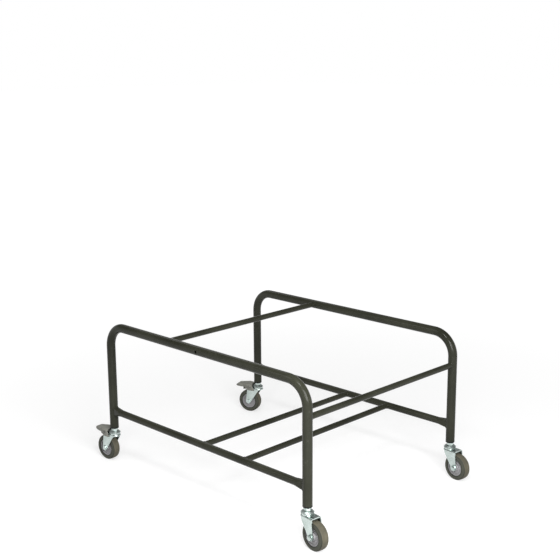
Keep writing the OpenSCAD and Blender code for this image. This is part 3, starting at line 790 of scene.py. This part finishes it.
def grow(name, start, tree, values):
    """Run a Geometry Nodes tree on a mesh and return the result as a plain mesh."""
    host = bpy.data.objects.new(name + "_host", start)
    scene.collection.objects.link(host)
    modifier = host.modifiers.new("grow", "NODES")
    modifier.node_group = tree
    for item in tree.interface.items_tree:
        if item.item_type == "SOCKET" and item.in_out == "INPUT" and item.name in values:
            modifier[item.identifier] = values[item.name]
    return settled(host, name)


def show(name, mesh, body):
    """Put a finished mesh in the scene, riding on its body."""
    piece = bpy.data.objects.new(name, mesh)
    scene.collection.objects.link(piece)
    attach(piece, body)
    return piece


points = [point for line in weld_lines for point in line]
edges = []
for k, line in enumerate(weld_lines):
    first = k * LINE_POINTS
    edges += [(first + i, first + (i + 1) % LINE_POINTS) for i in range(LINE_POINTS)]
weld_mesh = bpy.data.meshes.new("weld_lines")
weld_mesh.from_pydata(points, edges, [])
beads = grow("weld_beads", weld_mesh, WELD_TREE, {
    "Bead radius": BEAD_RADIUS, "Ripple step": RIPPLE_STEP, "Ripple height": RIPPLE_HEIGHT,
    "Seed": BEAD_SEED, "Finish": finishes["black_powder_coat"],
})
show("weld_beads", beads, "frame")
print("weld beads:", len(beads.polygons), "faces")

# %% [markdown]
# ## Brake pedals
#
# Each pedal is a moulded hood: two cheeks beside the fork, a rounded top that slopes to a blunt
# nose, and a block inside that carries the brake shoe. It could be modelled from a box with a
# subdivision surface. Here it is wrapped, like stretched film, round eight small balls and a
# foot, because those balls are what sets its rounded edges. A smaller copy of the same form makes
# it hollow.

# %% Pedal form
MM = 0.001
PIN = Vector((24.0, 0.0, 90.0))
WALL, TRIM = 2.0, 0.05
CHEEK_OUT, CHEEK_DROP, CHEEK_FORWARD, CHEEK_BACK = 19.6, 13.0, 17.0, 4.0
EDGE_R, NOSE_R = 4.5, 3.5
# Each rounded corner: place behind the pin, height above it, half width, radius
FRONT = (-6.0, 2.5, CHEEK_OUT, EDGE_R)
CREST = (12.0, 4.5, CHEEK_OUT, EDGE_R)
SLOPE = (43.0, 1.7, 13.0, EDGE_R)
NOSE = (51.5, -3.3, 7.0, NOSE_R)
BALL_TURNS, BALL_RINGS = 40, 20


def ball_points(centre, radius):
    """Points spread over a small ball."""
    spread = []
    for i in range(BALL_RINGS + 1):
        dip = math.pi * i / BALL_RINGS
        for k in range(BALL_TURNS):
            turn = math.tau * k / BALL_TURNS
            spread.append(centre + radius * Vector((
                math.sin(dip) * math.cos(turn), math.sin(dip) * math.sin(turn), math.cos(dip),
            )))
    return spread


def wrap(cloud):
    """Closed mesh stretched round a cloud of points."""
    shell = bmesh.new()
    for point in cloud:
        shell.verts.new(point)
    made = bmesh.ops.convex_hull(shell, input=shell.verts)
    left = dict.fromkeys(made["geom_interior"] + made["geom_unused"])
    loose = [point for point in left if isinstance(point, bmesh.types.BMVert)]
    bmesh.ops.delete(shell, geom=loose, context="VERTS")
    bmesh.ops.recalc_face_normals(shell, faces=shell.faces)
    mesh = bpy.data.meshes.new("wrapped")
    shell.to_mesh(mesh)
    shell.free()
    return mesh


def pedal_form(margin, opening):
    """The pedal's rounded solid, a margin smaller all over, and open in front if wanted."""
    cloud = []
    for x, z, half, radius in ((FRONT[0] - opening, *FRONT[1:]), CREST, SLOPE, NOSE):
        for side in (-1, 1):
            centre = PIN + Vector((x, side * (half - radius), z))
            cloud += ball_points(centre, radius - margin)
    foot = CHEEK_DROP + (margin if opening else -TRIM)
    for x in (-CHEEK_FORWARD - opening, CHEEK_BACK):
        for y in (margin - CHEEK_OUT, CHEEK_OUT - margin):
            for z in (-foot, WALL - foot):
                cloud.append(PIN + Vector((x, y, z)))
    return wrap(cloud)


outside = pedal_form(TRIM, 0.0)
inside = pedal_form(WALL, EDGE_R)
print("pedal skin:", len(outside.polygons), "faces outside,", len(inside.polygons), "inside")

# %% Cut and join the pedal
ARCH = ((4.0, -13.0), (21.0, -3.0), (51.5, -6.8), (51.5, -26.0), (4.0, -26.0))
SEAT_FRONT, SEAT_REAR, SEAT_HALF, SEAT_FOOT = 10.5, 26.5, 9.0, -9.0
CAP_CUT_R, PIN_HOLE_R = 19.5, 2.58
# The cutters reach well past the pedal: half their lengths, and the sides of a round one
ACROSS_HALF, CAP_CUT_HALF, ROD_SIDES = 40.0, 200.0, 96
SHARP = math.radians(32)


def turn_outward(mesh):
    """Turn every face outward."""
    solid = bmesh.new()
    solid.from_mesh(mesh)
    bmesh.ops.recalc_face_normals(solid, faces=solid.faces)
    solid.to_mesh(mesh)
    solid.free()
    return mesh


def prism(outline, half):
    """Solid of one outline beside the pin, running across the pedal."""
    cloud = [PIN + Vector((x, y, z)) for x, z in outline for y in (-half, half)]
    count = len(outline)
    faces = [tuple(range(0, 2 * count, 2)), tuple(range(2 * count - 1, 0, -2))]
    for k in range(count):
        a, b = 2 * k, 2 * ((k + 1) % count)
        faces.append((b, a, a + 1, b + 1))
    mesh = bpy.data.meshes.new("prism")
    mesh.from_pydata(cloud, [], faces)
    return turn_outward(mesh)


def rod(radius, half, matrix):
    """Round rod, placed by a matrix."""
    solid = bmesh.new()
    bmesh.ops.create_cone(
        solid, cap_ends=True, segments=ROD_SIDES, radius1=radius, radius2=radius,
        depth=2 * half, matrix=matrix,
    )
    mesh = bpy.data.meshes.new("rod")
    solid.to_mesh(mesh)
    solid.free()
    return mesh


def combine(mesh, tool, operation):
    """Cut a mesh with another, or join the two."""
    host = bpy.data.objects.new("host", mesh)
    other = bpy.data.objects.new("tool", tool)
    scene.collection.objects.link(host)
    scene.collection.objects.link(other)
    modifier = host.modifiers.new("combine", "BOOLEAN")
    modifier.operation = operation
    modifier.solver = "EXACT"
    modifier.object = other
    result = settled(host, "pedal")
    bpy.data.objects.remove(other)
    return result


slope = (SLOPE[1] - CREST[1]) / (SLOPE[0] - CREST[0])
skin = [CREST[1] + EDGE_R - WALL / 2 + slope * (x - CREST[0]) for x in (SEAT_FRONT, SEAT_REAR)]
seat = (
    (SEAT_FRONT, SEAT_FOOT), (SEAT_REAR, SEAT_FOOT), (SEAT_REAR, skin[1]), (SEAT_FRONT, skin[0]),
)
across = Matrix.Translation(PIN) @ Matrix.Rotation(math.pi / 2, 4, "X")
pedal = combine(outside, inside, "DIFFERENCE")
pedal = combine(pedal, prism(ARCH, ACROSS_HALF), "DIFFERENCE")
pedal = combine(pedal, prism(seat, SEAT_HALF), "UNION")
pedal = combine(pedal, rod(CAP_CUT_R, CAP_CUT_HALF, Matrix.Identity(4)), "DIFFERENCE")
pedal = combine(pedal, rod(PIN_HOLE_R, ACROSS_HALF, across), "DIFFERENCE")
pedal.transform(Matrix.Scale(MM, 4))
print("pedal:", len(pedal.polygons), "faces")

# %% Smooth the pedal's shading
host = bpy.data.objects.new("host", pedal)
scene.collection.objects.link(host)
pedal.polygons.foreach_set("use_smooth", [True] * len(pedal.polygons))
pedal.set_sharp_from_angle(angle=SHARP)
weigh = host.modifiers.new("weigh", "WEIGHTED_NORMAL")
weigh.keep_sharp = True
pedal = settled(host, "pedal")
pedal.materials.clear()
pedal.materials.append(finishes["pedal_plastic"])
print("sharp edges:", sum(edge.use_edge_sharp for edge in pedal.edges))

# %% [markdown]
# ## Grip ribs
#
# Low ribs run across the pedal's slope so that a wet sole does not slide off. They are one bar
# repeated down the slope, shorter towards the nose, which is work for a Geometry Nodes tree: a
# line of points, a bar on each point, and a length that shrinks along the line.

# %% Grip rib tree
RIB_COUNT = 6
RIB_FIRST, RIB_STEP = 16.0, 4.4
RIB_RADIUS, RIB_SUNK = 0.9, 0.4
RIB_MARGIN = 0.8
RIB_SIDES = 16
RIB_SHARP = math.radians(50)


def make_rib_tree():
    """Geometry Nodes tree of bars on a line of points, each shorter than the last."""
    tree, into, out = start_group("grip ribs", "GeometryNodeTree", [
        ("Start", "NodeSocketGeometry", None), ("Count", "NodeSocketInt", RIB_COUNT),
        ("First", VECTOR, None), ("Step", VECTOR, None), ("First half", FLOAT, None),
        ("Last half", FLOAT, None), ("Radius", FLOAT, RIB_RADIUS * MM),
        ("Finish", "NodeSocketMaterial", None),
    ], [("Ribs", "NodeSocketGeometry")])
    row = place(tree, "GeometryNodeMeshLine", {
        "Count": into["Count"], "Start Location": into["First"], "Offset": into["Step"],
    }, mode="OFFSET")
    bar = place(tree, "GeometryNodeCurvePrimitiveLine", {"Start": (0, -1, 0), "End": (0, 1, 0)})
    ring = place(tree, "GeometryNodeCurvePrimitiveCircle", {
        "Resolution": RIB_SIDES, "Radius": into["Radius"],
    })
    solid = place(tree, "GeometryNodeCurveToMesh", {
        "Curve": bar.outputs[0], "Profile Curve": ring.outputs[0], "Fill Caps": True,
    })
    index = place(tree, "GeometryNodeInputIndex")
    last = place(tree, "ShaderNodeMath", {0: into["Count"], 1: 1.0}, operation="SUBTRACT")
    reach = place(tree, "ShaderNodeMapRange", {
        "Value": index.outputs[0], "From Max": last.outputs[0],
        "To Min": into["First half"], "To Max": into["Last half"],
    })
    size = place(tree, "ShaderNodeCombineXYZ", {0: 1.0, 1: reach.outputs["Result"], 2: 1.0})
    bars = place(tree, "GeometryNodeInstanceOnPoints", {
        "Points": row.outputs[0], "Instance": solid.outputs[0], "Scale": size.outputs[0],
    })
    real = place(tree, "GeometryNodeRealizeInstances", {"Geometry": bars.outputs[0]})
    dressed = place(tree, "GeometryNodeSetMaterial", {
        "Geometry": real.outputs[0], "Material": into["Finish"],
    })
    tree.links.new(dressed.outputs[0], out["Ribs"])
    return tree


def rib_half(x):
    """Half length of a rib: the flat part of the slope at its place, less a margin."""
    share = (x - CREST[0]) / (SLOPE[0] - CREST[0])
    wide, narrow = CREST[2] - EDGE_R, SLOPE[2] - EDGE_R
    return (wide + share * (narrow - wide) - RIB_MARGIN) * MM


rib_last = RIB_FIRST + RIB_STEP * (RIB_COUNT - 1)
rib_top = CREST[1] + EDGE_R + slope * (RIB_FIRST - CREST[0]) - RIB_SUNK
ribs = grow("grip_ribs", bpy.data.meshes.new("rib_start"), make_rib_tree(), {
    "Count": RIB_COUNT, "First": MM * (PIN + Vector((RIB_FIRST, 0, rib_top))),
    "Step": MM * Vector((RIB_STEP, 0, RIB_STEP * slope)), "Radius": RIB_RADIUS * MM,
    "First half": rib_half(RIB_FIRST), "Last half": rib_half(rib_last),
    "Finish": finishes["pedal_plastic"],
})
ribs.polygons.foreach_set("use_smooth", [True] * len(ribs.polygons))
ribs.set_sharp_from_angle(angle=RIB_SHARP)
print("ribs:", len(ribs.polygons), "faces")

# %% Put the pedals on their castors
BRAKED = ("front_left", "rear_left")

for corner in BRAKED:
    turn, _ = wheel_frame(corner)
    swivel = Vector(joint_named(f"swivel_{corner}")["pos_m"])
    matrix = Matrix.Translation((swivel.x, swivel.y, 0)) @ Matrix.Rotation(turn, 4, "Z")
    hood, bars = pedal.copy(), ribs.copy()
    hood.transform(matrix)
    bars.transform(matrix)
    cover = show(f"smooth_pedal_{corner}", hood, f"pedal_{corner}")
    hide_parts(f"brake_pedal_{corner}")
    show(f"grip_ribs_{corner}", bars, f"pedal_{corner}")
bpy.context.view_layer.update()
